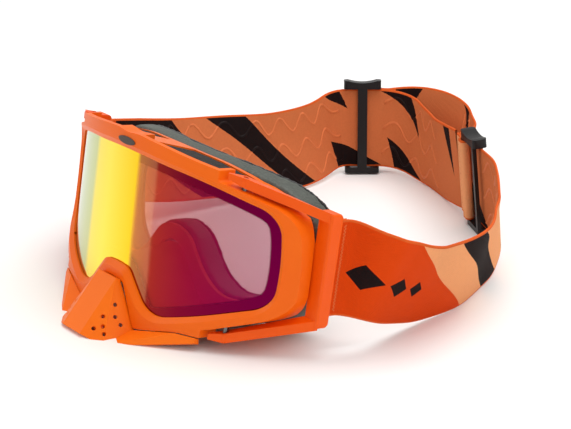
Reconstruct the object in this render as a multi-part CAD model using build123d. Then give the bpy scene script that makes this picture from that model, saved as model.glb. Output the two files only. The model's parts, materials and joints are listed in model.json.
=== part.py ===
from build123d import *
from math import acos, cos, hypot, radians, sin, tan
import os

# Motocross goggles lying on a flat surface, strap looped behind them.
# Front of the goggles faces -Y, +X is the wearer's left, +Z is up. Millimetres.
# The goggle parts are drawn upright in their own frame (lens front at y = 0), then
# leaned back by TILT, because the goggles rest on the nose guard's lower corners.

# ---- driving dimensions -------------------------------------------------------------
TILT = 10.0                # lean of the goggles, degrees
GOGGLE_SHIFT_Y = -13.35    # from the lens front to the line the goggles lean about
GOGGLE_LIFT = 1.5          # height of that line over the surface

RIM_R = 119.0              # front face of the rim, a cylinder about a vertical line
RIM_FRONT_Y = -3.0
RIM_DEPTH = 8.0
RIM_BACK_Y = 39.5          # the rim's ends stop here, short of the outriggers
WINDOW_BEVEL = (2.0, 2.6)  # slope round the window: depth, width
LENS_R = 116.0             # outer face of the lens, same axis as the rim
LENS_T = 1.4
LENS_HIDDEN = 2.8          # how far the lens reaches into the rim's groove
GROOVE_PLAY = 0.12
FACE_R = 160.0             # back of the face flange, a cylinder about a vertical line
FACE_Y = 31.5
FLANGE_T = 2.0
WALL_T = 2.0
WALL_FRONT_Y = -4.0        # planes of the two wall sections
WALL_BACK_Y = 52.0
FOAM_T = 11.0              # grey face foam
FLEECE_T = 1.6             # black fleece over it
VENT_FOAM_T = 2.0
LIP_T = 2.6                # front lip of the rim over the vents

PIN_R = 1.25               # hinge pins of the outriggers
PIN_PLAY = 0.05
PIN_X = 60.5
PIN_Y = 17.5
ARM_T = 4.4                # height of an arm
ARM_W = 5.0                # width of an arm, seen from above

STRAP_T = 1.3
STRAP_W = 43.7
STRAP_LOW = 23.2           # strap's lower edge at the outrigger, upright frame
BAR = (84.8, 93.0, 40.4, 47.5, 18.8, 70.2)     # outrigger bar: x, x, y, y, z, z
BAR_WALL = 2.0             # front wall of the bar, ahead of the strap slot
BAR_ROUND = 2.4            # round along the bar's upper and lower back edges
POST = (87.7, 45.35, 1.45)  # strap post in the outrigger: x, y, radius
ANCHOR_END_Y = 52.5        # where the anchor loop hands over to the side run

SLIDER_L = 19.0            # along the strap
SLIDER_HEAD = 3.0          # height of the lower head
SLIDER_TOP = 4.6           # height of the upper head
SLIDER_BAR = 2.0           # thickness of the bars
BAR_PITCH = 7.8            # centre bar to outer bar, along the strap
BAR_W = 5.2                # width of the centre bar
OUTER_BAR_W = 2.4
DIP = 1.2                  # shallow dip across the upper head
DIP_R = 26.0
STRAP_GAP = 0.35           # clearance between strap and bars
SPLIT = 0.3                # gap between two stretches of webbing that move apart
LOOP_TAIL = 18.6           # from the slider's middle to the end of the sewn loop's tail

# ---- outlines in the upright frame --------------------------------------------------
# Half outlines (x, z, softness), top centre to bottom centre. Softness says how much of
# the shorter side at a corner its round takes up: 0 is sharp, 0.48 is as round as it can be.
LENS_HALF = [(0, 77.3, 0.4), (46, 73.4, 0.45), (76.5, 65.2, 0.42), (78.4, 44, 0.45), (77.6, 24.8, 0.42),
             (47, 12.2, 0.48), (24.5, 5.2, 0.4), (8.8, 23.8, 0.3), (0, 24.6, 0.3)]
RIM_HALF = [(0, 84.4, 0.3), (8, 85.3, 0.3), (24, 83.9, 0.4), (52.2, 80.2, 0.04), (52.2, 75.4, 0.2),
            (62, 73.2, 0.3), (78.5, 68, 0.48), (84.4, 60.5, 0.48), (85.8, 46, 0.48), (86, 27.5, 0.48),
            (78.3, 19.2, 0.45), (57, 9.6, 0.3), (52.8, 8.4, 0.3), (52.8, 4.4, 0.1), (42, 4.0, 0.3),
            (24, -0.6, 0.3), (18.5, -1.6, 0.2), (14, 7, 0.3), (8.6, 17.6, 0.3), (0, 18.4, 0.3)]
WALL_FRONT_HALF = [(0, 84.6, 0.4), (30, 83.8, 0.45), (49, 79.4, 0.45), (62, 72, 0.45), (76.5, 67, 0.48),
                   (82.5, 60.5, 0.48), (84.2, 46, 0.48), (84.2, 30, 0.48), (77, 21, 0.48), (57, 11.5, 0.45),
                   (42, 5.6, 0.45), (25, 1, 0.3), (20, 0.6, 0.3), (14, 10, 0.45), (8, 20, 0.45), (0, 21.2, 0.3)]
WALL_BACK_HALF = [(0, 72.6, 0.4), (30, 72.4, 0.45), (46, 71, 0.45), (56, 68.6, 0.45), (66, 63.6, 0.48),
                  (71.8, 56, 0.48), (74, 46, 0.48), (73.4, 32, 0.48), (66.5, 18.4, 0.48), (54, 11, 0.45),
                  (42, 9, 0.45), (30, 9, 0.3), (23, 12.4, 0.3), (16, 21, 0.45), (8, 31, 0.45), (0, 33.6, 0.3)]
FLANGE_HALF = [(0, 75, 0.45), (32, 74.8, 0.48), (58, 71, 0.48), (70.5, 62.5, 0.48), (75.6, 49, 0.48),
               (75.6, 32, 0.48), (68, 14.5, 0.48), (49, 8, 0.45), (30, 6.6, 0.48), (17.5, 15, 0.45),
               (8, 30.5, 0.45), (0, 33, 0.4)]
OPENING_HALF = [(0, 68.5, 0.45), (32, 68.2, 0.48), (54, 65.4, 0.48), (66, 57.5, 0.48), (70, 47, 0.48),
                (69.4, 35, 0.48), (60, 22, 0.48), (46, 16.4, 0.45), (34, 15.4, 0.48), (22.5, 22.5, 0.45),
                (10.5, 37.5, 0.45), (0, 40, 0.4)]


def mirrored(half):
    """Close a half outline (first and last points on x = 0) with its mirror image."""
    return half + [(-x, z, soft) for x, z, soft in reversed(half) if x > 0]


def side_directions(points, i):
    """Unit vectors of the sides before and after corner i of a closed outline, and their lengths."""
    x, z, _ = points[i]
    x0, z0, _ = points[i - 1]
    x1, z1, _ = points[(i + 1) % len(points)]
    before, after = hypot(x - x0, z - z0), hypot(x1 - x, z1 - z)
    return ((x - x0) / before, (z - z0) / before), ((x1 - x) / after, (z1 - z) / after), before, after


def inset(points, amount):
    """Move every side of a closed clockwise outline inwards by amount, mitred at the corners."""
    moved = []
    for i, (x, z, soft) in enumerate(points):
        a, b, _, _ = side_directions(points, i)
        scale = amount / (1 + a[0] * b[0] + a[1] * b[1])
        moved.append((x + (a[1] + b[1]) * scale, z - (a[0] + b[0]) * scale, soft))
    return moved


def corner_radius(points, i):
    a, b, before, after = side_directions(points, i)
    turn = acos(max(-1.0, min(1.0, a[0] * b[0] + a[1] * b[1])))
    if turn < 0.002:
        return 0
    return points[i][2] * min(before, after) / tan(turn / 2)


def xz_face(points, y):
    """A flat face of the given outline, corners rounded, in the plane at y."""
    radii = [corner_radius(points, i) for i in range(len(points))]
    return make_face(FilletPolyline([(x, y, z) for x, z, _ in points], radius=radii, close=True))


def prism(points, y0, y1):
    """The outline carried straight from y0 to y1."""
    return extrude(xz_face(points, y0), amount=y1 - y0, dir=(0, 1, 0))


def block(x0, x1, y0, y1, z0, z1):
    return Pos((x0 + x1) / 2, (y0 + y1) / 2, (z0 + z1) / 2) * Box(x1 - x0, y1 - y0, z1 - z0)


def drum(radius, axis_y):
    """A tall upright cylinder round the line x = 0, y = axis_y."""
    return Pos(0, axis_y, 40) * Cylinder(radius, 220)


RIM_AXIS_Y = RIM_FRONT_Y + RIM_R
FACE_AXIS_Y = FACE_Y + FACE_R


def front_shell(outer_r, inner_r):
    return drum(outer_r, RIM_AXIS_Y) - drum(inner_r, RIM_AXIS_Y)


def face_shell(outer_r, inner_r):
    return drum(outer_r, FACE_AXIS_Y) - drum(inner_r, FACE_AXIS_Y)


def wall_loft(depth):
    """Solid inside the frame's walls, inset by depth from their outer faces."""
    sections = [
        xz_face(inset(mirrored(WALL_FRONT_HALF), depth), WALL_FRONT_Y),
        xz_face(inset(mirrored(WALL_BACK_HALF), depth), WALL_BACK_Y),
    ]
    return loft(sections, ruled=True)


def between_faces():
    """Space behind the rim's front face and in front of the flange's back face."""
    return drum(RIM_R - 1.5, RIM_AXIS_Y) - drum(FACE_R, FACE_AXIS_Y)


# ---- goggle parts, upright frame ----------------------------------------------------
def make_lens():
    outline = inset(mirrored(LENS_HALF), -LENS_HIDDEN)
    return prism(outline, -30, 60) & front_shell(LENS_R, LENS_R - LENS_T)


def vent_gap(x0, x1, z0, z1, play=0.0):
    """Vent opening from the rim's front lip to the face flange, clear of the lens's groove."""
    gap = block(x0 + play, x1 - play, -10, 60, z0, z1) & drum(RIM_R - LIP_T - play, RIM_AXIS_Y)
    gap -= drum(FACE_R + FLANGE_T + 1.5 + play, FACE_AXIS_Y)
    groove_wall = prism(inset(mirrored(LENS_HALF), -LENS_HIDDEN - LIP_T / 2 - play), -30, 60)
    return gap - (groove_wall - drum(RIM_R - RIM_DEPTH - 1.5 - play, RIM_AXIS_Y))


VENTS = {"top": (9, 50, 66, 95), "bottom": (31, 52, -10, 16)}


def on_front_face(edge):
    middle = edge.position_at(0.5)
    return abs(hypot(middle.X, middle.Y - RIM_AXIS_Y) - RIM_R) < 0.01 and middle.Y < RIM_AXIS_Y


def make_rim():
    """Front rim with its window, sloped towards the lens all round."""
    rim = prism(mirrored(RIM_HALF), -30, RIM_BACK_Y) & front_shell(RIM_R, RIM_R - RIM_DEPTH)
    outer_edges = rim.edges().filter_by(on_front_face)
    outer_middles = [edge.position_at(0.5) for edge in outer_edges]
    rim -= prism(mirrored(LENS_HALF), -30, 60)
    window_edges = [
        edge for edge in rim.edges().filter_by(on_front_face)
        if all((edge.position_at(0.5) - middle).length > 0.01 for middle in outer_middles)
    ]
    return chamfer(window_edges, *WINDOW_BEVEL)


def make_frame():
    rim = make_rim()
    groove = prism(inset(mirrored(LENS_HALF), -LENS_HIDDEN - GROOVE_PLAY), -30, 60)
    rim -= groove & front_shell(LENS_R + GROOVE_PLAY, LENS_R - LENS_T - GROOVE_PLAY)
    walls = (wall_loft(0) - wall_loft(WALL_T)) & between_faces()
    walls -= drum(RIM_R, RIM_AXIS_Y) - drum(RIM_R - RIM_DEPTH + 0.5, RIM_AXIS_Y)
    flange = prism(mirrored(FLANGE_HALF), 0, 120) & face_shell(FACE_R + FLANGE_T, FACE_R)
    flange -= prism(mirrored(OPENING_HALF), 0, 120)
    body = rim + walls + flange
    for x0, x1, z0, z1 in VENTS.values():
        for gap in (vent_gap(x0, x1, z0, z1), vent_gap(-x1, -x0, z0, z1)):
            body -= gap
    for side in (-1, 1):
        body -= Pos(side * PIN_X, PIN_Y, 40) * Cylinder(PIN_R, 80)
    return body


def make_vent_foam(place, side):
    """Open-cell foam under one vent opening, following the wall's inner face."""
    x0, x1, z0, z1 = VENTS[place]
    window = block(x0 - 3, x1 + 3, -10, 60, z0, z1)
    inner = wall_loft(WALL_T + 0.1 + VENT_FOAM_T)
    sheet = (wall_loft(WALL_T + 0.1) - inner) & drum(RIM_R - RIM_DEPTH - 0.2, RIM_AXIS_Y)
    sheet = (sheet & window) - drum(FACE_R + FLANGE_T + 0.2, FACE_AXIS_Y)
    plug = (wall_loft(0.5) - inner) & vent_gap(x0, x1, z0, z1, play=0.2)
    foam = sheet + plug
    return foam if side > 0 else foam.mirror(Plane.YZ)


def make_face_layer(front_gap, thickness, grow):
    """One layer of the face padding: a ring with the flange's outline, bent to the face."""
    outer = prism(inset(mirrored(FLANGE_HALF), -grow), 0, 160)
    opening = prism(inset(mirrored(OPENING_HALF), grow), 0, 160)
    return (outer - opening) & face_shell(FACE_R - front_gap, FACE_R - front_gap - thickness)


def solid_from_triangles(triangles):
    return Solid(Shell([make_face(Polyline(*corners, close=True)).face() for corners in triangles]))


NOSE_HALF = {              # corners of one half of the nose guard's outer skin
    "top": (7, -5.4, 18.6),
    "toe": (7, -21.7, -6.0),
    "foot": (17.5, -16.2, -8.6),
    "seam": (18.5, -2.4, -2.3),
    "step": (42, 3.9, 3.65),
    "wing_low": (52, 7.9, 1.9),
    "wing_top": (51.5, 8.2, 4.1),
}
NOSE_SKIN = (0, 2.3, -0.7)     # from the outer skin to the inner skin
HOLES = [(12, -7.6, 8), (11.9, -13.2, 3.1), (14.4, -8.5, 3.1), (11, -17, -2.6), (14.3, -14.3, -0.7), (16.5, -6.6, -0.2),
         (16.2, -14.6, -3.7)]
HOLE_R = 0.95


def make_nose_guard():
    out = {name: Vector(*p) for name, p in NOSE_HALF.items()}
    far = {name: Vector(-p.X, p.Y, p.Z) for name, p in out.items()}
    rim_loop = [out[name] for name in ("top", "seam", "step", "wing_top", "wing_low", "foot", "toe")]
    rim_loop += [far[name] for name in ("toe", "foot", "wing_low", "wing_top", "step", "seam", "top")]
    skin = [
        (out["top"], far["top"], far["toe"]),
        (out["top"], far["toe"], out["toe"]),
    ]
    for half in (out, far):
        skin.append((half["top"], half["toe"], half["foot"]))
        skin.append((half["top"], half["foot"], half["seam"]))
        skin.append((half["seam"], half["foot"], half["step"]))
        skin.append((half["step"], half["foot"], half["wing_low"]))
        skin.append((half["step"], half["wing_low"], half["wing_top"]))
    offset_by = Vector(*NOSE_SKIN)
    triangles = skin + [tuple(p + offset_by for p in corners) for corners in skin]
    for a, b in zip(rim_loop, rim_loop[1:] + rim_loop[:1]):
        triangles.append((a, b, a + offset_by))
        triangles.append((b, b + offset_by, a + offset_by))
    guard = solid_from_triangles(triangles)
    for side in (-1, 1):
        for x, y, z in HOLES:
            drill = Plane(origin=(side * x, y, z), z_dir=(side * 0.86, -0.26, 0.44))
            guard -= drill * Cylinder(HOLE_R, 6)
        guard += block(side * 34 - 3, side * 34 + 3, 1.6, 9.5, -0.6, 1.0)
    return guard


def make_brow_badge():
    oval = Pos(0, RIM_FRONT_Y, 80.6) * Rot(90, 0, 0) * extrude(Ellipse(6.2, 1.7), amount=2, both=True)
    return oval & front_shell(RIM_R + 0.5, RIM_R + 0.02)


def arm(z_tip, z_pin, z_bar):
    """A tapered arm, lofted from its tip past the hinge pin to the bar's front wall."""
    x0, x1, y0, _, _, _ = BAR
    sections = []
    for (x, y, z), width, height in (((55.2, 12.2, z_tip), 1.6, 2.6), ((PIN_X, PIN_Y, z_pin), ARM_W, ARM_T)):
        across = Plane(origin=(x, y, z), x_dir=(0.72, -0.69, 0), z_dir=(0.69, 0.72, 0))
        sections.append(across * Rectangle(width, height))
    at_bar = Plane(origin=((x0 + x1) / 2, y0 + BAR_WALL / 2, z_bar), x_dir=(1, 0, 0), z_dir=(0, 1, 0))
    sections.append(at_bar * Rectangle(x1 - x0 - 0.6, ARM_T))
    return loft(sections, ruled=True)


def make_outrigger():
    """Strap carrier on the +X side: bar with strap post, upper arm and lower arm."""
    x0, x1, y0, y1, z0, z1 = BAR
    strap_top = STRAP_LOW + STRAP_W
    body = block(*BAR)
    body = fillet(body.edges().filter_by(Axis.X).group_by(Axis.Y)[-1], BAR_ROUND)
    body = fillet(body.faces().sort_by(Axis.X)[-1].edges(), 1.2)
    body -= block(x0 - 1, x1 - 2.4, y0 + BAR_WALL, y1 + 1, STRAP_LOW - 0.8, strap_top + 0.8)
    body += arm(78.6, 76.9, z1 - ARM_T / 2)
    body += arm(6.0, 6.8, z0 + ARM_T / 2 - 0.5)
    post_x, post_y, post_r = POST
    body += Pos(post_x, post_y, STRAP_LOW + STRAP_W / 2) * Cylinder(post_r, STRAP_W + 4)
    for z in (76.6, 7.0):
        body += Pos(PIN_X, PIN_Y, z) * Cylinder(2.7, 3.0)
        body -= Pos(PIN_X, PIN_Y, z) * Cylinder(PIN_R + PIN_PLAY, 12)
    return body


def make_hinge_pins():
    """Two upper and two lower pins, pressed into the rim, one group of separate solids."""
    pins = []
    for side in (-1, 1):
        pins.append(Pos(side * PIN_X, PIN_Y, 75.65) * Cylinder(PIN_R, 5.9))
        pins.append(Pos(side * PIN_X, PIN_Y, 9.2) * Cylinder(PIN_R, 7.4))
    return Compound(children=pins)


def make_anchor():
    """Strap's sewn loop round the outrigger's post, +X side, upright frame."""
    post_x, post_y, post_r = POST
    reach = post_r + 0.1 + STRAP_T / 2
    outer_leg = Line((post_x + reach, ANCHOR_END_Y), (post_x + reach, post_y))
    bend = ThreePointArc((post_x + reach, post_y), (post_x, post_y - reach), (post_x - reach, post_y))
    meet_x = post_x + reach - STRAP_T - 0.05
    inner_leg = Polyline(
        (post_x - reach, post_y), (post_x - reach, post_y + 1.6), (meet_x, post_y + 5.6), (meet_x, ANCHOR_END_Y)
    )
    webbing = trace(outer_leg + bend + inner_leg, line_width=STRAP_T)
    return extrude(Pos(0, 0, STRAP_LOW) * webbing, amount=STRAP_W, dir=(0, 0, 1))


def lean_back(shape):
    """Carry a shape from the upright frame to where the goggles lie."""
    return Pos(0, 0, GOGGLE_LIFT) * Rot(-TILT, 0, 0) * Pos(0, GOGGLE_SHIFT_Y, 0) * shape


def leaned_point(x, y, z):
    a = radians(TILT)
    y += GOGGLE_SHIFT_Y
    return x, y * cos(a) + z * sin(a), z * cos(a) - y * sin(a) + GOGGLE_LIFT


# ---- straps -------------------------------------------------------------------------
# Stations of a strap: lower edge (x, y, z), sideways lean and lengthwise lean of the
# webbing in degrees. A positive sideways lean tips the top to the right of the run.
POST_OUT = POST[0] + POST[2] + 0.1 + STRAP_T / 2
EXIT = leaned_point(POST_OUT, ANCHOR_END_Y + SPLIT, STRAP_LOW)

RIGHT_SLIDER = {"centre": (-78.0, 206.0), "along": (0.62, 0.7846), "lean": -8.0}
LEFT_SLIDER = {"centre": (25.0, 197.0), "along": (-0.9, 0.4359), "lean": -6.0}

CENTRE_BAR_OFF = STRAP_T / 2 + STRAP_GAP + SLIDER_BAR / 2
OUTER_BAR_OFF = CENTRE_BAR_OFF + STRAP_T + 0.3
LEG_NEAR = OUTER_BAR_OFF - SLIDER_BAR / 2 - 0.1 - STRAP_T / 2
LEG_FAR = OUTER_BAR_OFF + SLIDER_BAR / 2 + 0.1 + STRAP_T / 2
STRAP_LIFT = SLIDER_HEAD + 0.8         # webbing in a slider is this far off the surface


def slider_station(slider, distance):
    (x, y), (ax, ay) = slider["centre"], slider["along"]
    return x + ax * distance, y + ay * distance, STRAP_LIFT, slider["lean"], 0


def tail_station(slider):
    """Where a sewn end loop's tail meets its strap, which runs against the slider's direction."""
    (ax, ay), off = slider["along"], LEG_NEAR + STRAP_T / 2
    x, y, z, lean, _ = slider_station(slider, LOOP_TAIL + SPLIT)
    return x - ay * off, y + ax * off, z, -lean, 0


HALF = SLIDER_L / 2 + 1
LEFT_RUNS = {
    "strap_left_side": [
        (EXIT[0], EXIT[1], EXIT[2], 0, 0), (94.4, 53, 14.3, 13.5, -7), (94.8, 64, 9.4, 21.5, -6), (93, 75, 5.6, 23, -4),
        (91.8, 86, 2.6, 21.5, -2), (90.8, 99.3, 1, 20.4, 0), (89.3, 117, 0.5, 18.9, 0), (85.3, 129.1, 0.4, 15.4, 0),
        (79.9, 141.5, 0.25, 9.3, 0), (72.9, 156.1, 0.25, 4.8, 0), (65, 168.4, 1.8, 0, 0), (57, 178.5, 2.9, -4, 0),
        (48, 186.4, 3.6, -6, 0),
        slider_station(LEFT_SLIDER, -HALF - SPLIT),
    ],
    "strap_left_weave": [slider_station(LEFT_SLIDER, d) for d in (-HALF, 0, HALF)],
    "strap_left_outer": [
        slider_station(LEFT_SLIDER, HALF + SPLIT), (2, 209, 2.6, 4, 0), (-15, 218, 2.2, 11, 0), (-32, 225.5, 2, 16, 0),
        (-46, 229.8, 2.2, 17, 0), (-57.5, 229.2, 2.8, 13, 0), tail_station(RIGHT_SLIDER),
    ],
}
RIGHT_RUNS = {
    "strap_right_side": [
        (-EXIT[0], EXIT[1], EXIT[2], 0, 0), (-90.4, 60, 13.6, -3, -1), (-89, 79, 9.2, -13, 0), (-87.2, 98, 6.4, -20, 0),
        (-84.4, 119.5, 4, -19, 0), (-79.5, 139.5, 2, -16.5, 0), (-77.4, 160, 1.4, -13, 0), (-79, 176, 2, -10, 0),
        (-82.6, 187.5, 3, -8.5, 0), slider_station(RIGHT_SLIDER, -HALF - SPLIT),
    ],
    "strap_right_weave": [slider_station(RIGHT_SLIDER, d) for d in (-HALF, 0, HALF)],
    "strap_right_inner": [
        slider_station(RIGHT_SLIDER, HALF + SPLIT), (-60, 220.6, 2.6, -3, 0), (-50, 220.8, 1.2, 0, 0), (-38, 219.6, 0.3, 3, 0),
        (-22, 214.6, 0.2, 5, 0), (-9, 209.2, 1.6, 5, 0), tail_station(LEFT_SLIDER),
    ],
}


def webbing_section(station, tangent):
    """Rectangle across the webbing at a station."""
    x, y, z, lean, along = station
    t = tangent.normalized()
    up = (Vector(0, 0, 1) - t * t.Z).normalized()
    side = t.cross(up)
    a, b = radians(lean), radians(along)
    width_dir = (up * (cos(a) * cos(b)) + side * sin(a) + t * (cos(a) * sin(b))).normalized()
    across = t.cross(width_dir).normalized()
    centre = Vector(x, y, z) + width_dir * (STRAP_W / 2)
    plane = Plane(origin=centre, x_dir=width_dir, z_dir=width_dir.cross(across))
    return plane * Rectangle(STRAP_W, STRAP_T)


def run_tangents(stations):
    points = [Vector(*s[:3]) for s in stations]
    inner = [points[i + 1] - points[i - 1] for i in range(1, len(points) - 1)]
    return [points[1] - points[0]] + inner + [points[-1] - points[-2]]


def make_runs(runs):
    """Loft each run; a run's end section is also the next run's first section."""
    solids = {}
    names = list(runs)
    for k, name in enumerate(names):
        stations = runs[name]
        tangents = run_tangents(stations)
        slider_dir = Vector(stations[-1][0], stations[-1][1], 0) - Vector(stations[0][0], stations[0][1], 0)
        if k == 0:
            weave = runs[names[1]]
            tangents[0] = Vector(0, cos(radians(TILT)), -sin(radians(TILT)))
            tangents[-1] = Vector(*weave[1][:3]) - Vector(*weave[0][:3])
        elif k == 1:
            tangents = [slider_dir] * len(stations)
        else:
            weave = runs[names[1]]
            tangents[0] = Vector(*weave[1][:3]) - Vector(*weave[0][:3])
        solids[name] = loft([webbing_section(s, t) for s, t in zip(stations, tangents)], ruled=(k == 1))
    return solids


def slider_plane(slider):
    """Frame of a slider: x along the strap, y up the webbing, z to the right of the strap."""
    x, y, z, lean, _ = slider_station(slider, 0)
    t = Vector(*slider["along"], 0).normalized()
    up = Vector(0, 0, 1)
    width_dir = up * cos(radians(lean)) + t.cross(up) * sin(radians(lean))
    return Plane(origin=Vector(x, y, z), x_dir=t, z_dir=t.cross(width_dir))


def slider_head(length, height, y):
    """Head of a slider with rounded ends, its middle at height y up the webbing."""
    low, high = -OUTER_BAR_OFF - SLIDER_BAR / 2, CENTRE_BAR_OFF + SLIDER_BAR / 2
    head = Box(length, height, high - low)
    head = fillet(head.edges().filter_by(Axis.Y), 1.8)
    return Pos(0, y, (low + high) / 2) * head


def make_slider(slider):
    """Three-bar adjuster: centre bar on one side of the strap, outer bars on the other."""
    body = slider_head(SLIDER_L, SLIDER_HEAD, -0.2 - SLIDER_HEAD / 2)
    body += slider_head(SLIDER_L + 1.5, SLIDER_TOP, STRAP_W + 0.3 + SLIDER_TOP / 2)
    body -= Pos(0, STRAP_W + 0.3 + SLIDER_TOP + DIP_R - DIP, 0) * Cylinder(DIP_R, 30)
    body += Pos(0, STRAP_W / 2, CENTRE_BAR_OFF) * Box(BAR_W, STRAP_W + 2, SLIDER_BAR)
    for x in (-BAR_PITCH, BAR_PITCH):
        body += Pos(x, STRAP_W / 2, -OUTER_BAR_OFF) * Box(OUTER_BAR_W, STRAP_W + 2, SLIDER_BAR)
    return slider_plane(slider) * body


def make_end_loop(slider):
    """The other strap's sewn end: a loop round one outer bar, with its tail folded on the strap."""
    turn_x = BAR_PITCH - OUTER_BAR_W / 2 + 0.2
    fold = LEG_NEAR + STRAP_T + 0.05
    near_leg = Line((LOOP_TAIL, -LEG_NEAR), (turn_x, -LEG_NEAR))
    bulge_x = turn_x - (LEG_FAR - LEG_NEAR) / 2
    bend = ThreePointArc((turn_x, -LEG_NEAR), (bulge_x, -OUTER_BAR_OFF), (turn_x, -LEG_FAR))
    far_leg = Polyline((turn_x, -LEG_FAR), (BAR_PITCH + 1.6, -LEG_FAR), (BAR_PITCH + 5.4, -fold), (LOOP_TAIL, -fold))
    webbing = trace(near_leg + bend + far_leg, line_width=STRAP_T)
    loop = extrude(webbing, amount=STRAP_W)
    # drawn with the webbing's thickness along y, so it is turned to put that along z
    return slider_plane(slider) * (Pos(0, STRAP_W, 0) * Rot(90, 0, 0) * loop)


# ---- the assembly -------------------------------------------------------------------
def build():
    outrigger = make_outrigger()
    anchor = make_anchor()
    upright = {
        "frame": make_frame(),
        "lens": make_lens(),
        "nose_guard": make_nose_guard(),
        "brow_badge": make_brow_badge(),
        "hinge_pins": make_hinge_pins(),
        "outrigger_left": outrigger,
        "outrigger_right": outrigger.mirror(Plane.YZ),
        "strap_left_anchor": anchor,
        "strap_right_anchor": anchor.mirror(Plane.YZ),
        "face_foam": make_face_layer(0.05, FOAM_T, 1.5),
        "face_fleece": make_face_layer(0.1 + FOAM_T, FLEECE_T, 1.2),
    }
    for place in VENTS:
        upright[f"vent_foam_{place}_left"] = make_vent_foam(place, 1)
        upright[f"vent_foam_{place}_right"] = make_vent_foam(place, -1)
    nodes = {name: lean_back(shape) for name, shape in upright.items()}
    below = Pos(0, 0, -50) * Box(400, 600, 100)
    nodes["nose_guard"] -= below
    nodes.update(make_runs(LEFT_RUNS))
    nodes.update(make_runs(RIGHT_RUNS))
    nodes["slider_left"] = make_slider(LEFT_SLIDER)
    nodes["slider_right"] = make_slider(RIGHT_SLIDER)
    nodes["strap_right_end"] = make_end_loop(LEFT_SLIDER)
    nodes["strap_left_end"] = make_end_loop(RIGHT_SLIDER)
    return nodes


def main():
    os.makedirs("parts", exist_ok=True)
    nodes = build()
    box = Compound(children=[shape.moved(Location()) for shape in nodes.values()]).bounding_box()
    centre = Pos(-(box.min.X + box.max.X) / 2, -(box.min.Y + box.max.Y) / 2, -box.min.Z)
    print("origin shift", centre.position)
    for name, shape in nodes.items():
        export_step(centre * shape, f"parts/{name}.step")


if __name__ == "__main__":
    main()
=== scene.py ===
import json
from math import cos, pi, radians, sin

import bmesh
import bpy
import numpy as np
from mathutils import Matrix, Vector, noise


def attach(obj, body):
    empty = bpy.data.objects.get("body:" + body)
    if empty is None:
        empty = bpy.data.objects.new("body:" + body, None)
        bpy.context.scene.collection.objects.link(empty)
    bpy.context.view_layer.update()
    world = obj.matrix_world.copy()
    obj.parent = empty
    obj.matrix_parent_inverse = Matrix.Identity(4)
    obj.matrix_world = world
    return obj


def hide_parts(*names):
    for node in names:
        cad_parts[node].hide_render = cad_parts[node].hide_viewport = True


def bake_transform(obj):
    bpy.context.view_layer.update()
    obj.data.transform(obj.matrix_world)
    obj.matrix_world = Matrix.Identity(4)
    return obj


# Motocross goggles on a pale floor: the CAD model's straps, foams and lens are modelled
# again here with their real softness, print and coating, and the moulded parts keep their
# CAD shape with rounded edges. Lengths are in millimetres until they are placed.

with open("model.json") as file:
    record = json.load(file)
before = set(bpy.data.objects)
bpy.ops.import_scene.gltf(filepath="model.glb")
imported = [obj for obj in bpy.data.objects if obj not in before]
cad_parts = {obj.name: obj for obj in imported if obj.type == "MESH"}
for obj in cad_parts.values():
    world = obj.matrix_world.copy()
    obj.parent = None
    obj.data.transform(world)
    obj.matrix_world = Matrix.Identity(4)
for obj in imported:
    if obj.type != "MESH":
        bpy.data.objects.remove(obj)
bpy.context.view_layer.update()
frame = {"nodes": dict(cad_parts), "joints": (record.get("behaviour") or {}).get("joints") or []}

# ---- shared dimensions ----------------------------------------------------------------
MM = 0.001
TILT = radians(10)             # lean of the goggles
SHIFT_Y, LIFT = -13.35, 1.5
PIN = (60.5, 17.5, 42.0)       # a point of the left hinge line, upright frame

STRAP_T, STRAP_W = 1.3, 43.7
STRAP_LOW = 23.2               # strap's lower edge at the outrigger, upright frame
POST_X, POST_Y, POST_R = 87.7, 45.35, 1.45
ANCHOR_END_Y = 52.5            # where the strap leaves the outrigger's slot
FIT = 0.1                      # play between the webbing and what it wraps round
SLIDER_BAR, BAR_PITCH, OUTER_BAR_W = 2.0, 7.8, 2.4
CENTRE_BAR_OFF = STRAP_T / 2 + 0.35 + SLIDER_BAR / 2
OUTER_BAR_OFF = CENTRE_BAR_OFF + STRAP_T + 0.3
LEG_NEAR = OUTER_BAR_OFF - SLIDER_BAR / 2 - FIT - STRAP_T / 2
LEG_FAR = OUTER_BAR_OFF + SLIDER_BAR / 2 + FIT + STRAP_T / 2
LOOP_TAIL = 18.6               # from the slider's middle to the end of the sewn loop's tail
STRAP_LIFT = 3.8               # webbing in a slider is this far off the floor
SLIDER_HALF = 10.5             # half the straight stretch of webbing in a slider
RIGHT_SLIDER = {"centre": (-78.0, 206.0), "along": (0.62, 0.7846), "lean": -8.0, "body": "slider_right"}
LEFT_SLIDER = {"centre": (25.0, 197.0), "along": (-0.9, 0.4359), "lean": -6.0, "body": "slider_left"}

LENS_AXIS_Y = 116.0            # upright line that the lens is curved round
LENS_R, LENS_T = 116.0, 1.4
LENS_HALF = [                  # corners of half the outline, before they are rounded
    (0, 80.0), (20, 79.2), (46, 76.2), (68, 70.9), (76.2, 66.6), (79.6, 60), (81.0, 44), (80.6, 31),
    (78.4, 24.5), (70, 18.6), (47, 9.4), (32, 4.2), (24, 2.0), (19, 4.4), (8.2, 20.3), (6, 21.5), (0, 21.8),
]
PAINTED_SHADE_INSIDE = 7.4            # from the lens's outline to the inner edge of its painted shade band


def leaned(x, y, z):
    """From the upright frame to where the goggles lie."""
    y = y + SHIFT_Y
    return np.array([x, y * cos(TILT) + z * sin(TILT), z * cos(TILT) - y * sin(TILT) + LIFT])


# the hinge line's place in the frame gives the place of the upright frame's origin
HINGE = next(j for j in frame["joints"] if j["name"] == "outrigger_left_hinge")["pos_m"]
ORIGIN = np.array(HINGE) - leaned(*PIN) * MM


def placed(points):
    return np.asarray(points, float) * MM + ORIGIN


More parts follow.
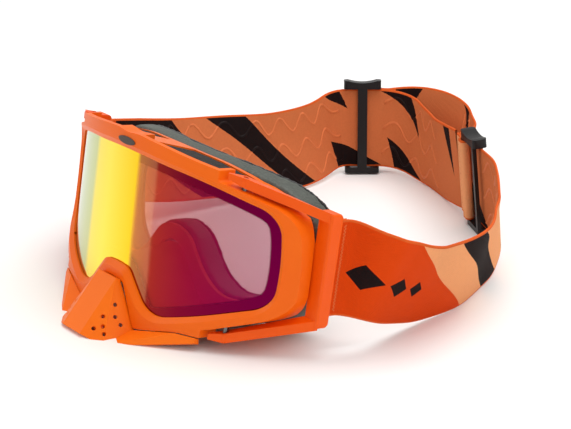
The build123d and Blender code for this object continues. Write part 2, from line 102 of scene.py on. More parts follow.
# ---- objects and modifiers ------------------------------------------------------------
def add_object(name, data):
    obj = bpy.data.objects.new(name, data)
    bpy.context.scene.collection.objects.link(obj)
    return obj


def mesh_object(name, points, faces, materials=(), slots=None, attribute=None):
    """A smooth-shaded mesh from millimetre points, with an optional vector attribute."""
    mesh = bpy.data.meshes.new(name)
    mesh.from_pydata([tuple(p) for p in placed(points)], [], faces)
    for material in materials:
        mesh.materials.append(material)
    if slots is not None:
        mesh.polygons.foreach_set("material_index", slots)
    if attribute is not None:
        layer = mesh.attributes.new("weave", "FLOAT_VECTOR", "POINT")
        layer.data.foreach_set("vector", np.asarray(attribute, np.float32).ravel())
    mesh.shade_smooth()
    mesh.update()
    return add_object(name, mesh)


def baked(obj):
    """Turn the object's modifiers into its mesh."""
    bpy.context.view_layer.update()
    graph = bpy.context.evaluated_depsgraph_get()
    mesh = bpy.data.meshes.new_from_object(obj.evaluated_get(graph))
    obj.modifiers.clear()
    obj.data = mesh
    mesh.shade_smooth()
    return obj


# ---- materials ------------------------------------------------------------------------
def linear(r, g, b):
    """Colour from display values of 0 to 255."""
    values = [v / 255 for v in (r, g, b)]
    return tuple(((v + 0.055) / 1.055) ** 2.4 if v > 0.0405 else v / 12.92 for v in values) + (1.0,)


class Nodes:
    """Small helper for building one material's node tree."""

    def __init__(self, name):
        self.material = bpy.data.materials.new(name)
        self.material.use_nodes = True
        self.tree = self.material.node_tree
        self.shader = self.tree.nodes["Principled BSDF"]
        self.output = self.tree.nodes["Material Output"]

    def add(self, kind, **values):
        node = self.tree.nodes.new(kind)
        for key, value in values.items():
            setattr(node, key, value)
        return node

    def feed(self, socket, value):
        if isinstance(value, bpy.types.NodeSocket):
            self.tree.links.new(value, socket)
        else:
            socket.default_value = value

    def math(self, operation, *values):
        node = self.add("ShaderNodeMath", operation=operation)
        for socket, value in zip(node.inputs, values):
            self.feed(socket, value)
        return node.outputs[0]

    def mix(self, factor, a, b):
        node = self.add("ShaderNodeMix", data_type="RGBA")
        self.feed(node.inputs[0], factor)
        self.feed(node.inputs[6], a)
        self.feed(node.inputs[7], b)
        return node.outputs[2]

    def noise(self, scale, detail=3.0, vector=None):
        node = self.add("ShaderNodeTexNoise")
        node.inputs["Scale"].default_value = scale
        node.inputs["Detail"].default_value = detail
        if vector is None:
            vector = self.add("ShaderNodeTexCoord").outputs["Object"]
        self.tree.links.new(vector, node.inputs["Vector"])
        return node.outputs[0]

    def bump(self, height, distance, strength=1.0):
        node = self.add("ShaderNodeBump")
        node.inputs["Distance"].default_value = distance
        node.inputs["Strength"].default_value = strength
        self.tree.links.new(height, node.inputs["Height"])
        self.tree.links.new(node.outputs[0], self.shader.inputs["Normal"])

    def set(self, **values):
        for key, value in values.items():
            self.feed(self.shader.inputs[key.replace("_", " ")], value)

    def ramp(self, factor, stops):
        node = self.add("ShaderNodeValToRGB")
        elements = node.color_ramp.elements
        while len(elements) < len(stops):
            elements.new(0.5)
        for element, (position, colour) in zip(elements, stops):
            element.position = position
            element.color = colour
        self.tree.links.new(factor, node.inputs[0])
        return node.outputs[0]


GRAIN, GRAIN_SCALE = 0.00006, 2600     # depth in metres and fineness of moulded plastic's grain


def plastic(name, colour, deep, roughness):
    """Moulded plastic: a faint mottle in the colour and a fine spark-eroded grain."""
    n = Nodes(name)
    mottle = n.noise(45, 4)
    n.set(Base_Color=n.mix(mottle, deep, colour))
    fine = n.noise(GRAIN_SCALE, 2)
    n.set(Roughness=n.math("MULTIPLY_ADD", fine, 0.1, roughness - 0.05))
    n.set(Specular_IOR_Level=0.22)
    n.bump(fine, GRAIN)
    return n.material


def foam(name, dark, light, scale, depth, roughness, sheen=0.0):
    """Open-cell foam or fleece: pores from a cell pattern under a soft mottle."""
    n = Nodes(name)
    cells = n.add("ShaderNodeTexVoronoi", feature="F1")
    cells.inputs["Scale"].default_value = scale
    n.tree.links.new(n.add("ShaderNodeTexCoord").outputs["Object"], cells.inputs["Vector"])
    pores = n.math("MULTIPLY", cells.outputs["Distance"], 0.6)
    cloudy = n.math("MULTIPLY_ADD", n.noise(160, 5), 0.5, pores)
    n.set(Base_Color=n.mix(cloudy, dark, light), Roughness=roughness)
    n.set(Sheen_Weight=sheen)
    n.bump(n.math("ADD", cells.outputs["Distance"], n.noise(600, 4)), depth)
    return n.material


def lens_material():
    """Mirror-coated tint: the coating's hue goes from magenta to yellow with the angle."""
    n = Nodes("lens_mirror")
    facing = n.add("ShaderNodeLayerWeight")
    facing.inputs["Blend"].default_value = 0.5
    facing = facing.outputs["Facing"]
    haze = n.math("MULTIPLY_ADD", n.noise(14, 2), 0.008, facing)
    hue = n.ramp(haze, [
        (0.04, (0.40, 0.0, 0.12, 1)), (0.20, (0.50, 0.01, 0.06, 1)), (0.298, (0.60, 0.04, 0.03, 1)),
        (0.308, (0.75, 0.20, 0.10, 1)), (0.375, (0.85, 0.30, 0.08, 1)), (0.392, (1.0, 0.64, 0.02, 1)),
        (0.56, (1.0, 0.80, 0.08, 1)), (0.665, (0.98, 0.76, 0.08, 1)), (0.70, (0.56, 0.60, 0.25, 1)),
        (0.92, (0.50, 0.58, 0.37, 1)),
    ])
    share = [(0.04, 0.34), (0.298, 0.42), (0.308, 0.48), (0.375, 0.52), (0.392, 0.95), (0.72, 0.93)]
    strength = n.ramp(haze, [(position, (value, value, value, 1)) for position, value in share])
    n.set(Base_Color=hue, Metallic=1.0, Roughness=0.035)
    # painted shade: the see-through colour turns dark in a band just inside the lens's outline, where the
    # shaded frame lies behind it
    gap = n.add("ShaderNodeAttribute", attribute_name="outline_gap").outputs["Fac"]
    painted_shade_band = n.ramp(n.math("DIVIDE", gap, PAINTED_SHADE_INSIDE * 2), [(0.48, (1,) * 4), (0.52, (0, 0, 0, 1))])
    clear = n.add("ShaderNodeBsdfTransparent")
    n.feed(clear.inputs[0], n.mix(painted_shade_band, (0.86, 0.80, 0.79, 1), (0.05, 0.012, 0.02, 1)))
    blend = n.add("ShaderNodeMixShader")
    n.feed(blend.inputs[0], strength)
    n.tree.links.new(clear.outputs[0], blend.inputs[1])
    n.tree.links.new(n.shader.outputs[0], blend.inputs[2])
    n.tree.links.new(blend.outputs[0], n.output.inputs["Surface"])
    return n.material


DEEP_ORANGE, PEACH, INNER_PEACH = linear(230, 71, 0), linear(255, 174, 118), linear(222, 122, 72)
PRINT_BLACK, BINDING, WEAVE_SHADE = linear(13, 10, 12), linear(232, 100, 40), linear(96, 34, 10)
BINDING_W = 1.1
RIB_PITCH, YARN_PITCH = 0.9, 0.75      # ribs across the webbing, yarns along it

# Printed shapes on the straps, by their length from the outrigger. A band has its two ends
# on the lower edge, then on the upper edge. A wedge has the two ends of its base, its tip,
# its height and the edge that it stands on.
OUTSIDE = [
    ("band", 106, 128, 62, 79),
    ("wedge", 148, 158, 152, 9, "low"),
    ("wedge", 165, 215, 190, 11, "top"),
]
LEFT_INSIDE = [
    ("wedge", 248, 262, 208, 22, "top"),
    ("wedge", 170, 192, 196, 22, "low"),
    ("wedge", 276, 288, 282, 20, "top"),
]
RIGHT_INSIDE = [
    ("band", 62, 92, -6, 41),
    ("band", 120, 133, 66, 87),
    ("wedge", 152, 159, 161.5, 11, "top"),
    ("wedge", 155, 182, 152, 17, "low"),
    ("wedge", 177, 190, 205, 20, "top"),
    ("wedge", 188, 211, 182, 17, "low"),
    ("wedge", 246, 255, 256, 27, "top"),
]
# row of plain diamonds: middle (along, up), half length, half height
DIAMONDS = [(9, 20, 7, 6), (23.5, 20, 5.5, 5), (36.5, 20, 4.5, 4.2)]
# the deep orange ends at this length on the upper edge, slants this much per millimetre
# down and bows out by this much times the distances from both edges
DEEP_TOP, DEEP_SLANT, DEEP_BOW = 24 + 1.35 * (42.2 - STRAP_W), 1.35, 0.0136


def strap_material(name, outer_sign, inside):
    """Woven strap with its print, read from each point's place along and up the strap."""
    n = Nodes(name)
    place = n.add("ShaderNodeAttribute", attribute_name="weave")
    split = n.add("ShaderNodeSeparateXYZ")
    n.tree.links.new(place.outputs["Vector"], split.inputs[0])
    s, u, side = split.outputs
    wobble = n.math("MULTIPLY_ADD", n.noise(900, 1), 0.5, -0.25)
    s_soft = n.math("ADD", s, wobble)
    down = n.math("SUBTRACT", STRAP_W, u)

    def between(low, high):
        return n.math("MULTIPLY", n.math("GREATER_THAN", s_soft, low), n.math("LESS_THAN", s_soft, high))

    def printed(shapes):
        total = None
        for shape in shapes:
            if shape[0] == "band":
                _, low0, low1, top0, top1 = shape
                inside_it = between(
                    n.math("MULTIPLY_ADD", u, (top0 - low0) / STRAP_W, low0),
                    n.math("MULTIPLY_ADD", u, (top1 - low1) / STRAP_W, low1),
                )
            else:
                _, base0, base1, tip, reach, edge = shape
                d = u if edge == "low" else down
                inside_it = between(
                    n.math("MULTIPLY_ADD", d, (tip - base0) / reach, base0),
                    n.math("MULTIPLY_ADD", d, (tip - base1) / reach, base1),
                )
            total = inside_it if total is None else n.math("MAXIMUM", total, inside_it)
        return total

    deep_end = n.math("MULTIPLY_ADD", down, DEEP_SLANT, DEEP_TOP)
    deep_end = n.math("MULTIPLY_ADD", n.math("MULTIPLY", u, down), DEEP_BOW, deep_end)
    outer = n.mix(n.math("LESS_THAN", s_soft, deep_end), PEACH, DEEP_ORANGE)
    outer = n.mix(printed(OUTSIDE), outer, PRINT_BLACK)
    for centre, height, half_s, half_u in DIAMONDS:
        ds = n.math("ABSOLUTE", n.math("SUBTRACT", s, centre))
        du = n.math("ABSOLUTE", n.math("SUBTRACT", u, height))
        diamond = n.math("ADD", n.math("DIVIDE", ds, half_s), n.math("DIVIDE", du, half_u))
        outer = n.mix(n.math("LESS_THAN", diamond, 1.0), outer, PRINT_BLACK)
    inner = n.mix(printed(inside), INNER_PEACH, PRINT_BLACK)
    is_outer = n.math("GREATER_THAN", n.math("MULTIPLY", side, outer_sign), 0.0)
    colour = n.mix(is_outer, inner, outer)
    edge_gap = n.math("MINIMUM", u, down)
    colour = n.mix(n.math("LESS_THAN", edge_gap, BINDING_W), colour, BINDING)
    rib = n.math("SINE", n.math("MULTIPLY", s, 2 * pi / RIB_PITCH))
    yarn = n.math("SINE", n.math("MULTIPLY", u, 2 * pi / YARN_PITCH))
    weave = n.math("MULTIPLY", rib, yarn)
    shade = n.math("MULTIPLY_ADD", weave, 0.04, n.math("MULTIPLY_ADD", n.noise(900, 3), 0.16, -0.02))
    n.set(Base_Color=n.mix(shade, colour, WEAVE_SHADE))
    # silicone lines have a side of 2 or -2, the webbing's faces 1 or -1
    raised = n.math("GREATER_THAN", n.math("ABSOLUTE", side), 1.5)
    n.set(Roughness=n.math("MULTIPLY_ADD", raised, -0.4, 0.78))
    n.set(Specular_IOR_Level=0.12)
    n.bump(n.math("MULTIPLY", weave, n.math("SUBTRACT", 1.0, raised)), 0.00012)
    return n.material


# ---- straps ---------------------------------------------------------------------------
def slider_station(slider, distance):
    (x, y), (ax, ay) = slider["centre"], slider["along"]
    return x + ax * distance, y + ay * distance, STRAP_LIFT, slider["lean"], 0


def tail_station(slider):
    (ax, ay) = slider["along"]
    x, y, z, lean, _ = slider_station(slider, LOOP_TAIL)
    return x - ay * LEG_NEAR, y + ax * LEG_NEAR, z, -lean, 0


POST_REACH = POST_R + FIT + STRAP_T / 2
LEAD = leaned(POST_X + POST_REACH, ANCHOR_END_Y - 5, STRAP_LOW)     # sets the strap's direction at its exit
EXIT = leaned(POST_X + POST_REACH, ANCHOR_END_Y, STRAP_LOW)

# stations of the straps: lower edge (x, y, z), sideways and lengthwise lean in degrees
LEFT_SIDE = [
    (94.4, 53, 14.3, 13.5, -7), (94.8, 64, 9.4, 21.5, -6), (93, 75, 5.6, 23, -4),
    (91.8, 86, 2.6, 21.5, -2), (90.8, 99.3, 1, 20.4, 0), (89.3, 117, 0.5, 18.9, 0),
    (85.3, 129.1, 0.4, 15.4, 0), (79.9, 141.5, 0.25, 9.3, 0), (72.9, 156.1, 0.25, 4.8, 0),
    (65, 168.4, 1.8, 0, 0), (57, 178.5, 2.9, -4, 0), (48, 186.4, 3.6, -6, 0),
]
LEFT_REAR = [
    (2, 209, 2.6, 4, 0), (-15, 218, 2.4, 11, 0), (-32, 225.5, 3.2, 16, 0), (-46, 229.8, 5.0, 17, 0),
    (-57.5, 229.2, 5.2, 13, 0),
]
RIGHT_SIDE = [
    (-90.4, 60, 13.6, -3, -1), (-89, 79, 9.2, -13, 0), (-87.2, 98, 6.4, -20, 0),
    (-84.4, 119.5, 4, -19, 0), (-79.5, 139.5, 2, -16.5, 0), (-77.4, 160, 1.4, -13, 0),
    (-79, 176, 2, -10, 0), (-82.6, 187.5, 3, -8.5, 0),
]
RIGHT_REAR = [
    (-60, 220.6, 2.6, -3, 0), (-50, 220.8, 1.2, 0, 0), (-38, 219.6, 0.3, 3, 0), (-22, 214.6, 0.2, 5, 0),
    (-9, 209.2, 1.6, 5, 0),
]
LEFT_MIDDLE, RIGHT_MIDDLE = 6, 4       # station where the side run goes from the outrigger's to the slider's


def strap_stations(side, side_run, own, rear_run, other):
    """All stations of one strap, and the numbers of those where its pieces change hands."""
    lead, leave = (side * LEAD[0], *LEAD[1:], 0, 0), (side * EXIT[0], *EXIT[1:], 0, 0)
    stations = [lead, leave, *side_run]
    weave = len(stations)
    stations += [slider_station(own, d) for d in (-SLIDER_HALF, 0, SLIDER_HALF)]
    stations += [*rear_run, tail_station(other)]
    return stations, weave


def natural_cubic(t, values):
    """Second derivatives of the natural cubic spline through values at t."""
    count, gap = len(t), np.diff(t)
    matrix, right = np.zeros((count, count)), np.zeros_like(values)
    matrix[0, 0] = matrix[-1, -1] = 1
    for i in range(1, count - 1):
        matrix[i, i - 1:i + 2] = gap[i - 1], 2 * (gap[i - 1] + gap[i]), gap[i]
        right[i] = 6 * ((values[i + 1] - values[i]) / gap[i] - (values[i] - values[i - 1]) / gap[i - 1])
    return np.linalg.solve(matrix, right)


class Path:
    """Lower edge, width direction, face normal and length along a stretch of webbing."""

    def __init__(self, edge, width):
        self.edge = np.asarray(edge, float)
        tangent = np.gradient(self.edge, axis=0)
        tangent /= np.linalg.norm(tangent, axis=1)[:, None]
        self.width = np.broadcast_to(np.asarray(width, float), self.edge.shape)
        normal = np.cross(tangent, self.width)
        self.normal = normal / np.linalg.norm(normal, axis=1)[:, None]
        steps = np.linalg.norm(np.diff(self.edge, axis=0), axis=1)
        self.length = np.concatenate([[0], np.cumsum(steps)])

    def part(self, first, last):
        piece = Path.__new__(Path)
        for key in ("edge", "width", "normal", "length"):
            setattr(piece, key, getattr(self, key)[first:last + 1])
        return piece

    def at(self, s, u, off):
        """Point at length s, height u and distance off the middle of the webbing."""
        edge, width, normal = (
            np.stack([np.interp(s, self.length, values[:, k]) for k in range(3)], -1)
            for values in (self.edge, self.width, self.normal)
        )
        return edge + width * u[..., None] + normal * off[..., None]


STEP = 1.4                     # spacing of the webbing's cross sections
EASE_LENGTH = 16.0             # over which the webbing turns from the outrigger's slot to its free lean


def spline_path(stations):
    """The webbing's path through its stations, and each station's place in it."""
    table = np.array(stations, float)
    t = np.concatenate([[0], np.cumsum(np.linalg.norm(np.diff(table[:, :3], axis=0), axis=1))])
    curve = natural_cubic(t, table)
    rows, marks = [], []
    for i in range(len(t) - 1):
        gap = t[i + 1] - t[i]
        count = max(3, round(gap / STEP))
        marks.append(len(rows))
        for k in range(count):
            b = k / count
            a = 1 - b
            bend = ((a ** 3 - a) * curve[i] + (b ** 3 - b) * curve[i + 1]) * gap ** 2 / 6
            rows.append(a * table[i] + b * table[i + 1] + bend)
    marks.append(len(rows))
    rows.append(table[-1])
    rows = np.array(rows)
    edge = rows[:, :3]
    tangent = np.gradient(edge, axis=0)
    tangent /= np.linalg.norm(tangent, axis=1)[:, None]
    up = np.array([0, 0, 1.0]) - tangent * tangent[:, 2:3]
    up /= np.linalg.norm(up, axis=1)[:, None]
    a, b = np.radians(rows[:, 3:4]), np.radians(rows[:, 4:5])
    width = up * np.cos(a) * np.cos(b) + np.cross(tangent, up) * np.sin(a) + tangent * np.cos(a) * np.sin(b)
    width /= np.linalg.norm(width, axis=1)[:, None]
    from_exit = np.linalg.norm(edge - edge[marks[1]], axis=1) / EASE_LENGTH
    ease = np.clip(np.where(np.arange(len(edge)) < marks[1], 0, from_exit), 0, 1)[:, None]
    width = np.array([0, sin(TILT), cos(TILT)]) * (1 - ease) + width * ease
    width /= np.linalg.norm(width, axis=1)[:, None]
    path = Path(edge, width)
    path.length = path.length - path.length[marks[1]]
    return path, marks


ROUND_U = (0.0, 0.12, 0.45, 1.1)
ROUND_N = (0.0, 0.55, 0.9, 1.0)
SECTION_U = list(ROUND_U) + list(np.linspace(4, STRAP_W - 4, 9)) + [STRAP_W - u for u in reversed(ROUND_U)]
SECTION_N = list(ROUND_N) + [1.0] * 9 + list(reversed(ROUND_N))


def webbing(path, cap_start=False, cap_end=False):
    """Points, quads and weave attribute of a stretch of webbing with rounded edges."""
    ring_u = np.array(SECTION_U + SECTION_U[-2:0:-1])
    ring_n = np.array(SECTION_N + [-v for v in SECTION_N[-2:0:-1]])
    rings, size = len(path.edge), len(ring_u)
    points = (path.edge[:, None] + path.width[:, None] * ring_u[None, :, None]
              + path.normal[:, None] * ring_n[None, :, None] * (STRAP_T / 2))
    weave = np.zeros((rings, size, 3))
    weave[:, :, 0] = path.length[:, None]
    weave[:, :, 1] = ring_u
    weave[:, :, 2] = ring_n
    faces = []
    for i in range(rings - 1):
        for j in range(size):
            k = (j + 1) % size
            faces.append((i * size + j, i * size + k, (i + 1) * size + k, (i + 1) * size + j))
    if cap_start:
        faces.append(tuple(range(size - 1, -1, -1)))
    if cap_end:
        faces.append(tuple(range((rings - 1) * size, rings * size)))
    return points.reshape(-1, 3), faces, weave.reshape(-1, 3)


def bead(path, s, u, side, half, height):
    """A raised line on one face of the webbing along the points (s, u)."""
    ds, du = np.gradient(s), np.gradient(u)
    size = np.hypot(ds, du)
    across_s, across_u = -du / size, ds / size
    points, weave, faces = [], [], []
    profile = [
        (-half, -0.1), (-half * 0.6, height * 0.75), (0, height), (half * 0.6, height * 0.75), (half, -0.1),
    ]
    for off, rise in profile:
        sp, up = s + across_s * off, u + across_u * off
        points.append(path.at(sp, up, np.full_like(sp, side * (STRAP_T / 2 + rise))))
        weave.append(np.stack([sp, up, np.full_like(sp, side * 2.0)], -1))
    rings, size = len(s), len(profile)
    points, weave = np.stack(points, 1), np.stack(weave, 1)
    for i in range(rings - 1):
        for j in range(size - 1):
            quad = (i * size + j, (i + 1) * size + j, (i + 1) * size + j + 1, i * size + j + 1)
            faces.append(quad if side > 0 else quad[::-1])
    faces.append(tuple(range(size)))
    faces.append(tuple(range(rings * size - 1, (rings - 1) * size - 1, -1)))
    return points.reshape(-1, 3), faces, weave.reshape(-1, 3)


def joined(parts):
    """Put parts with their material slots together into one mesh's lists."""
    points, faces, weave, slots, start = [], [], [], [], 0
    for (p, f, w), slot in parts:
        points.append(p)
        weave.append(w)
        faces += [tuple(v + start for v in face) for face in f]
        slots += [slot] * len(f)
        start += len(p)
    return np.concatenate(points), faces, np.concatenate(weave), slots


SILICONE_ROWS = (-14.0, 0.0, 14.0)     # from the middle of the webbing's width
WAVE, WAVE_PITCH = 4.0, 18             # swing and length of one wave


def silicone(path, side, s0, s1):
    """Three wavy silicone grip lines on the face towards the head."""
    low, high = max(s0, path.length[0]), min(s1, path.length[-1])
    if high - low < 4:
        return []
    s = np.linspace(low, high, int(high - low) + 2)
    lines = []
    for row in SILICONE_ROWS:
        u = STRAP_W / 2 + row + WAVE * np.sin(s * 2 * pi / WAVE_PITCH)
        lines.append((bead(path, s, u, side, 0.75, 0.42), 0))
    return lines


STITCH_EDGE = 2.5              # stitching stops this far from the webbing's edges


def zigzag(path, s0, s1, u0, u1, pitch, side):
    """Zigzag stitching across the webbing from u0 to u1, between s0 and s1."""
    count = int((u1 - u0) / pitch)
    u = np.linspace(u0, u1, count * 4 + 1)
    phase = np.abs(((np.arange(len(u)) / 4) % 1) * 2 - 1)
    return bead(path, s0 + (s1 - s0) * phase, u, side, 0.3, 0.25)


def anchor_path(side):
    """The sewn loop round the outrigger's post, from its tail to the strap's exit."""
    meet_x = POST_X + POST_REACH - STRAP_T - 0.05
    flat = [(meet_x, y) for y in np.linspace(ANCHOR_END_Y, POST_Y + 5.8, 3)]
    flat += [(meet_x - 3.0 * v * v * (3 - 2 * v), POST_Y + 5.6 - 4.6 * v) for v in np.linspace(0, 1, 8)]
    flat += [(POST_X - POST_REACH * cos(a), POST_Y - POST_REACH * sin(a)) for a in np.linspace(0.0, pi, 17)]
    flat += [(POST_X + POST_REACH, y) for y in np.linspace(POST_Y + 0.8, ANCHOR_END_Y, 7)]
    edge = np.array([leaned(side * x, y, STRAP_LOW) for x, y in flat])
    path = Path(edge, np.array([0, sin(TILT), cos(TILT)]))
    path.length = path.length - path.length[-1]
    return path


def slider_axes(slider):
    x, y, z, lean, _ = slider_station(slider, 0)
    along = np.array([*slider["along"], 0.0])
    along /= np.linalg.norm(along)
    up = np.array([0, 0, 1.0])
    width = up * cos(radians(lean)) + np.cross(along, up) * sin(radians(lean))
    return np.array([x, y, z]), along, width, np.cross(along, width)


def end_loop_path(slider, start_length):
    """The sewn end: past the outer bar, round it and back over itself."""
    origin, along, width, right = slider_axes(slider)
    turn_x = BAR_PITCH - OUTER_BAR_W / 2 + 0.2
    fold = LEG_NEAR + STRAP_T + 0.05
    middle, radius = (LEG_NEAR + LEG_FAR) / 2, (LEG_FAR - LEG_NEAR) / 2
    # along the slider and off the webbing's middle
    flat = [(x, -LEG_NEAR) for x in np.linspace(LOOP_TAIL, turn_x, 9)]
    flat += [(turn_x - radius * sin(a), -middle + radius * cos(a)) for a in np.linspace(0, pi, 15)[1:]]
    flat += [(turn_x + 1.6, -LEG_FAR)]
    ease = np.linspace(0, 1, 8)
    flat += [(BAR_PITCH + 1.4 + 4.4 * v, -LEG_FAR + (LEG_FAR - fold) * v * v * (3 - 2 * v)) for v in ease]
    flat += [(x, -fold) for x in np.linspace(BAR_PITCH + 6.4, LOOP_TAIL, 6)]
    edge = np.array([origin + along * x + right * z for x, z in flat])
    path = Path(edge, width)
    path.length = path.length + start_length
    return path


def build_strap(side_name, side, side_run, own, rear_run, other, materials):
    """One strap from its outrigger through its slider to its sewn end on the other slider."""
    stations, weave = strap_stations(side, side_run, own, rear_run, other)
    path, marks = spline_path(stations)
    head_side = -side                     # the face towards the head, as a sign of the normal
    outrigger, own_body, other_body = f"outrigger_{side_name}", own["body"], other["body"]
    middle = LEFT_MIDDLE if side > 0 else RIGHT_MIDDLE
    rear_middle = weave + 2 + len(rear_run) // 2
    last = len(stations) - 1
    run_name = "strap_left_outer" if side > 0 else "strap_right_inner"
    grip = (26, path.length[-1] - 34)
    pieces = [
        ("front", 1, middle, f"strap_{side_name}_side", (outrigger, "root")),
        ("back", middle, weave, f"strap_{side_name}_side", ("root", own_body)),
        ("through", weave, weave + 2, f"strap_{side_name}_weave", (own_body,)),
        ("rear_near", weave + 2, rear_middle, run_name, (own_body, "root")),
        ("rear_far", rear_middle, last, run_name, ("root", other_body)),
    ]
    for label, first, end, node, bodies in pieces:
        piece = path.part(marks[first], marks[end])
        parts = [(webbing(piece), 0)]
        if label != "through":
            parts += silicone(piece, head_side, *grip)
        points, faces, attribute, slots = joined(parts)
        obj = mesh_object(f"strap_{side_name}_{label}_webbing", points, faces, materials, slots, attribute)
        finish_strap(obj, node, bodies)
    loop = anchor_path(side)
    parts = [(webbing(loop, cap_start=True), 0)]
    for face_side in (head_side, -head_side):
        for s in (-1.6, -4.4):
            stitches = zigzag(loop, s - 0.6, s + 0.6, STITCH_EDGE, STRAP_W - STITCH_EDGE, 1.5, face_side)
            parts.append((stitches, 1))
    points, faces, attribute, slots = joined(parts)
    obj = mesh_object(f"strap_{side_name}_post_loop", points, faces, materials, slots, attribute)
    finish_strap(obj, f"strap_{side_name}_anchor", (outrigger,))
    end = end_loop_path(other, path.length[-1])
    parts = [(webbing(end, cap_end=True), 0)]
    tail = end.length[-1]
    for face_side in (1, -1):
        stitches = zigzag(end, tail - 6.4, tail - 2.0, STITCH_EDGE, STRAP_W - STITCH_EDGE, 3.0, face_side)
        parts.append((stitches, 1))
    points, faces, attribute, slots = joined(parts)
    obj = mesh_object(f"strap_{side_name}_sewn_end", points, faces, materials, slots, attribute)
    finish_strap(obj, f"strap_{side_name}_end", (other_body,))


def finish_strap(obj, node, bodies):
    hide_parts(node)
    if len(bodies) == 1:
        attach(obj, bodies[0])
    else:
        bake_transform(obj)


# ---- lens -----------------------------------------------------------------------------
def rounded(corners, rounds=3):
    """Cut the corners of a closed outline a few times over."""
    points = np.array(corners, float)
    for _ in range(rounds):
        after = np.roll(points, -1, axis=0)
        points = np.stack([points * 0.75 + after * 0.25, points * 0.25 + after * 0.75], 1).reshape(-1, 2)
    return points


def outline_gap(places, outline):
    """Distance of each place from a closed outline."""
    start, step = outline, np.roll(outline, -1, axis=0) - outline
    offset = places[:, None] - start[None]
    along = np.clip((offset * step).sum(-1) / (step ** 2).sum(-1), 0, 1)
    return np.linalg.norm(offset - along[..., None] * step, axis=-1).min(axis=1)


def make_lens(material):
    """The lens as a curved sheet cut to its outline, finely faceted across the curve."""
    outline = LENS_HALF + [(-x, z) for x, z in reversed(LENS_HALF) if x > 0]
    points = rounded(outline)
    bm = bmesh.new()
    bm.faces.new([bm.verts.new((x, 0, z)) for x, z in points])
    cuts = [((x, 0, 0), (1, 0, 0)) for x in np.arange(-80, 80.5, 1.25)]
    cuts += [((0, 0, z), (0, 0, 1)) for z in np.arange(4, 79, 2.5)]
    for place, direction in cuts:
        geometry = bm.verts[:] + bm.edges[:] + bm.faces[:]
        bmesh.ops.bisect_plane(bm, geom=geometry, plane_co=place, plane_no=direction, dist=1e-5)
    flat, index = [(v.co.x, v.co.z) for v in bm.verts], {v: i for i, v in enumerate(bm.verts)}
    front = [[index[v] for v in f.verts] for f in bm.faces]
    border = [(index[e.verts[0]], index[e.verts[1]]) for e in bm.edges if e.is_boundary]
    bm.free()
    count, out = len(flat), []
    for radius in (LENS_R, LENS_R - LENS_T):
        for x, z in flat:
            ratio = radius / LENS_R
            out.append(leaned(x * ratio, LENS_AXIS_Y - np.sqrt(radius ** 2 - (x * ratio) ** 2), z))
    faces = list(front) + [[v + count for v in reversed(f)] for f in front]
    faces += [(a, b, b + count, a + count) for a, b in border]
    obj = mesh_object("lens_sheet", out, faces, [material])
    mesh = obj.data
    gaps = outline_gap(np.array(flat), points)
    mesh.attributes.new("outline_gap", "FLOAT", "POINT").data.foreach_set("value", np.tile(gaps, 2))
    bm = bmesh.new()
    bm.from_mesh(mesh)
    bmesh.ops.recalc_face_normals(bm, faces=bm.faces)
    for edge in bm.edges:
        if len(edge.link_faces) == 2 and edge.calc_face_angle(0) > radians(40):
            edge.smooth = False
    bm.to_mesh(mesh)
    bm.free()
    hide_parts("lens")
    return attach(obj, "root")


# ---- foams ----------------------------------------------------------------------------
def soft_copy(node, name, voxel, rounds, lump, lump_size, material):
    """A CAD foam with its edges worn round and its surface slightly uneven."""
    source = frame["nodes"][node]
    mesh = source.data.copy()
    mesh.transform(source.matrix_world)
    bm = bmesh.new()
    bm.from_mesh(mesh)
    bmesh.ops.remove_doubles(bm, verts=bm.verts, dist=1e-6)
    bm.to_mesh(mesh)
    bm.free()
    obj = add_object(name, mesh)
    remesh = obj.modifiers.new("remesh", "REMESH")
    remesh.mode, remesh.voxel_size = "VOXEL", voxel * MM
    smooth = obj.modifiers.new("round", "SMOOTH")
    smooth.factor, smooth.iterations = 0.5, rounds
    baked(obj)
    mesh = obj.data
    mesh.materials.clear()
    mesh.materials.append(material)
    for v in mesh.vertices:
        v.co += v.normal * (noise.noise(v.co / (lump_size * MM)) * lump * MM)
    mesh.update()
    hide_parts(node)
    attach(obj, "root")
    return obj


# ---- moulded parts --------------------------------------------------------------------
def moulded(node, material, radius):
    """A CAD node with its material and its sharp edges rounded off."""
    obj = frame["nodes"][node]
    obj.data.materials.clear()
    obj.data.materials.append(material)
    obj.data.shade_smooth()
    weld = obj.modifiers.new("weld", "WELD")
    weld.merge_threshold = 0.00002
    bevel = obj.modifiers.new("round", "BEVEL")
    bevel.width, bevel.segments = radius * MM, 3
    bevel.limit_method, bevel.angle_limit = "ANGLE", radians(28)
    bevel.use_clamp_overlap = True
    bevel.harden_normals = False
    weighted = obj.modifiers.new("normals", "WEIGHTED_NORMAL")
    weighted.keep_sharp = False
    weighted.weight = 60
    return obj


# ---- lighting and camera --------------------------------------------------------------
def area_light(name, place, target, width, height, power, colour=(1, 1, 1)):
    light = bpy.data.lights.new(name, "AREA")
    light.shape, light.size, light.size_y = "RECTANGLE", width, height
    light.energy, light.color = power, colour
    obj = add_object(name, light)
    obj.location = place
    obj.rotation_mode = "QUATERNION"
    obj.rotation_quaternion = (Vector(target) - Vector(place)).to_track_quat("-Z", "Y")
    return obj


def make_floor():
    mesh = bpy.data.meshes.new("floor")
    size = 6.0                 # metres from the middle to each side
    corners = [(-size, -size, 0), (size, -size, 0), (size, size, 0), (-size, size, 0)]
    mesh.from_pydata(corners, [], [(0, 1, 2, 3)])
    n = Nodes("floor_white")
    n.set(Base_Color=n.mix(n.noise(0.8, 2), linear(243, 243, 242), linear(250, 250, 249)), Roughness=0.6)
    mesh.materials.append(n.material)
    add_object("floor", mesh)


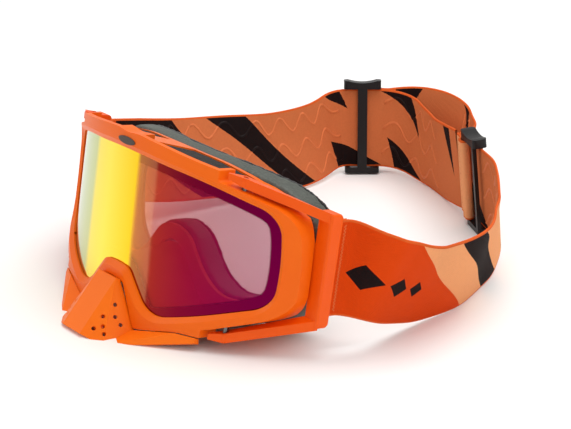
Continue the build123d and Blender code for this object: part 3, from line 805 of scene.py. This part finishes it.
def make_light():
    world = bpy.data.worlds.new("studio")
    bpy.context.scene.world = world
    world.use_nodes = True
    background = world.node_tree.nodes["Background"]
    background.inputs[0].default_value = (1.0, 0.99, 0.97, 1)
    background.inputs[1].default_value = 0.6
    area_light("top_softbox", (0.1, 0.25, 1.2), (0, 0, 0), 1.1, 1.1, 12)
    area_light("left_fill", (-0.9, -0.9, 0.8), (0, -0.05, 0.03), 0.8, 0.6, 3)
    area_light("right_fill", (1.2, -0.3, 0.7), (0, 0, 0.03), 0.6, 0.8, 2.5)


def make_camera():
    azimuth, elevation = radians(51.1), radians(21.0)
    distance, target = 0.9367, Vector(ORIGIN) + Vector((-54.1, 131.8, 0)) * MM
    back = Vector((sin(azimuth) * cos(elevation), -cos(azimuth) * cos(elevation), sin(elevation)))
    camera = add_object("camera", bpy.data.cameras.new("camera"))
    camera.data.sensor_width = 36
    camera.data.lens = 112.224
    camera.location = target + back * distance
    camera.rotation_mode = "QUATERNION"
    camera.rotation_quaternion = (-back).to_track_quat("-Z", "Y")
    bpy.context.scene.camera = camera


def main():
    bpy.context.scene.view_settings.view_transform = "Standard"
    orange = plastic("frame_orange", linear(243, 107, 0), linear(236, 95, 0), 0.4)
    nose_orange = plastic("nose_orange", linear(248, 116, 6), linear(240, 104, 2), 0.45)
    arm_orange = plastic("outrigger_orange", linear(243, 93, 0), linear(236, 82, 0), 0.38)
    black = plastic("slider_black", linear(34, 33, 34), linear(22, 21, 22), 0.34)
    badge = plastic("badge_grey", linear(92, 80, 72), linear(70, 62, 58), 0.5)
    steel = Nodes("pin_steel")
    mottle = steel.mix(steel.noise(400, 4), (0.10, 0.10, 0.10, 1), (0.2, 0.2, 0.2, 1))
    steel.set(Base_Color=mottle, Metallic=1.0, Roughness=0.32)
    for node, material, radius in (
        ("frame", orange, 0.7), ("nose_guard", nose_orange, 0.5), ("outrigger_left", arm_orange, 0.7),
        ("outrigger_right", arm_orange, 0.7), ("slider_left", black, 0.35), ("slider_right", black, 0.35),
        ("brow_badge", badge, 0.12), ("hinge_pins", steel.material, 0.25),
    ):
        moulded(node, material, radius)
    make_lens(lens_material())
    grey = foam("foam_grey", linear(46, 49, 44), linear(84, 89, 80), 900, 0.0002, 0.5)
    fleece = foam("fleece_black", linear(14, 14, 15), linear(36, 35, 36), 2600, 0.00025, 0.95, sheen=0.4)
    vent = foam("vent_foam_black", linear(20, 17, 16), linear(46, 40, 36), 700, 0.0005, 0.95)
    soft_copy("face_foam", "face_foam_soft", 1.3, 5, 0.3, 14, grey)
    soft_copy("face_fleece", "face_fleece_soft", 0.8, 2, 0.2, 9, fleece)
    for place in ("top_left", "top_right", "bottom_left", "bottom_right"):
        soft_copy(f"vent_foam_{place}", f"vent_mesh_{place}", 0.8, 1, 0.15, 6, vent)
    thread = plastic("strap_thread", linear(236, 120, 62), linear(220, 100, 45), 0.7)
    left = strap_material("strap_left_print", 1.0, LEFT_INSIDE)
    right = strap_material("strap_right_print", -1.0, RIGHT_INSIDE)
    build_strap("left", 1, LEFT_SIDE, LEFT_SLIDER, LEFT_REAR, RIGHT_SLIDER, [left, thread])
    build_strap("right", -1, RIGHT_SIDE, RIGHT_SLIDER, RIGHT_REAR, LEFT_SLIDER, [right, thread])
    make_floor()
    make_light()
    make_camera()


main()
